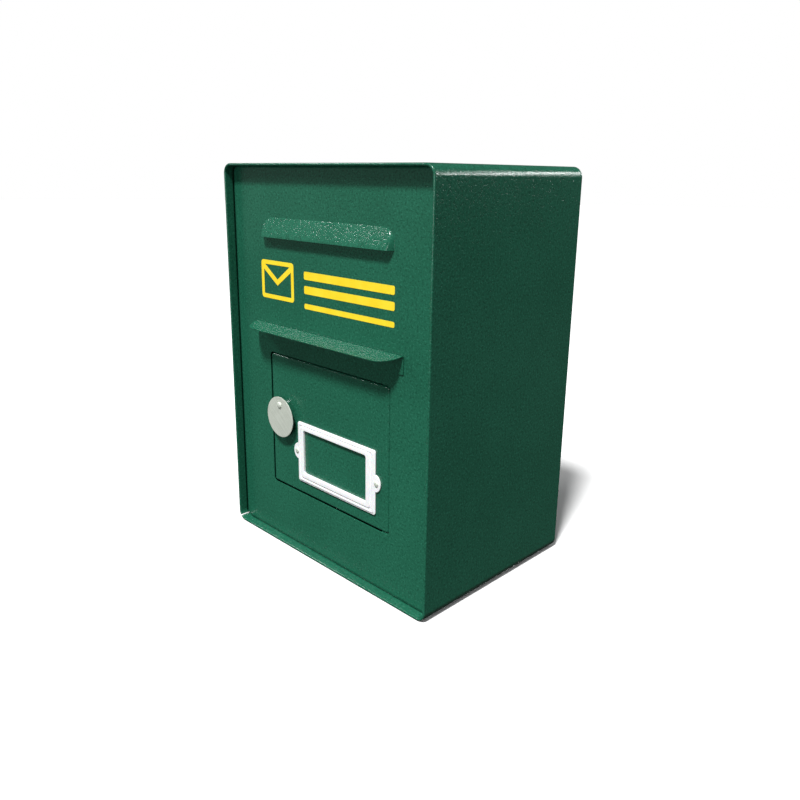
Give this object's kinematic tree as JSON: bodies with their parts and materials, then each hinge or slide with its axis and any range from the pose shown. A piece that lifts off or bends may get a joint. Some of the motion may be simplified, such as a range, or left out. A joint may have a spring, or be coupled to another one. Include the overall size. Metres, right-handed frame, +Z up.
{
  "type": "letterbox",
  "caption": "Steel letterbox with an inset front, a louvred letter slot, a rain visor and a flush hinged door with a cam lock, a keyhole cover and a card frame.",
  "frame": {"origin": "on the flat underside of the floor pan, at the middle of the shell's width and depth", "axes": "+Z up along the height, +X to the right seen from the front, +Y from the front to the back, so the door faces -Y"},
  "size_m": [0.34, 0.2535, 0.46],
  "materials": {
    "green_powder_coat": "dark green powder coat with a fine orange peel, satin",
    "white_plastic": "moulded white plastic, satin",
    "yellow_film": "thin yellow film, satin",
    "stainless": "brushed stainless steel",
    "zinc_plated": "zinc plated steel"
  },
  "bodies": {
    "cabinet": {"shell_wrap": "green_powder_coat", "floor_pan": "green_powder_coat", "back_panel": "green_powder_coat", "front_panel": "green_powder_coat", "visor": "green_powder_coat", "door_stop_left": "green_powder_coat", "door_stop_top": "green_powder_coat", "door_stop_bottom": "green_powder_coat", "hinge_bracket_top": "green_powder_coat", "hinge_bracket_bottom": "green_powder_coat", "hinge_pin_top": "zinc_plated", "hinge_pin_bottom": "zinc_plated", "envelope_sign": "yellow_film", "stripe_low": "yellow_film", "stripe_middle": "yellow_film", "stripe_high": "yellow_film"},
    "door": {"door_panel": "green_powder_coat", "lock_housing": "zinc_plated", "lock_nut": "zinc_plated", "cover_spacer": "zinc_plated", "cover_rivet": "stainless", "card_frame": "white_plastic", "card_frame_rivet_left": "stainless", "card_frame_rivet_right": "stainless"},
    "plug": {"lock_plug": "zinc_plated", "lock_cam": "zinc_plated", "cam_screw": "zinc_plated"},
    "cover": {"keyhole_cover": "stainless"}
  },
  "joints": [
    {"name": "door_hinge", "type": "hinge", "parent": "cabinet", "child": "door", "pos_m": [0.0995, -0.104, 0.1566], "axis": [0, 0, 1], "range_deg": [0, 105]},
    {"name": "lock_turn", "type": "hinge", "parent": "door", "child": "plug", "pos_m": [-0.076, -0.108, 0.158], "axis": [0, 1, 0], "range_deg": [0, 90]},
    {"name": "cover_swing", "type": "hinge", "parent": "door", "child": "cover", "pos_m": [-0.076, -0.116, 0.18], "axis": [0, 1, 0], "continuous": true}
  ]
}
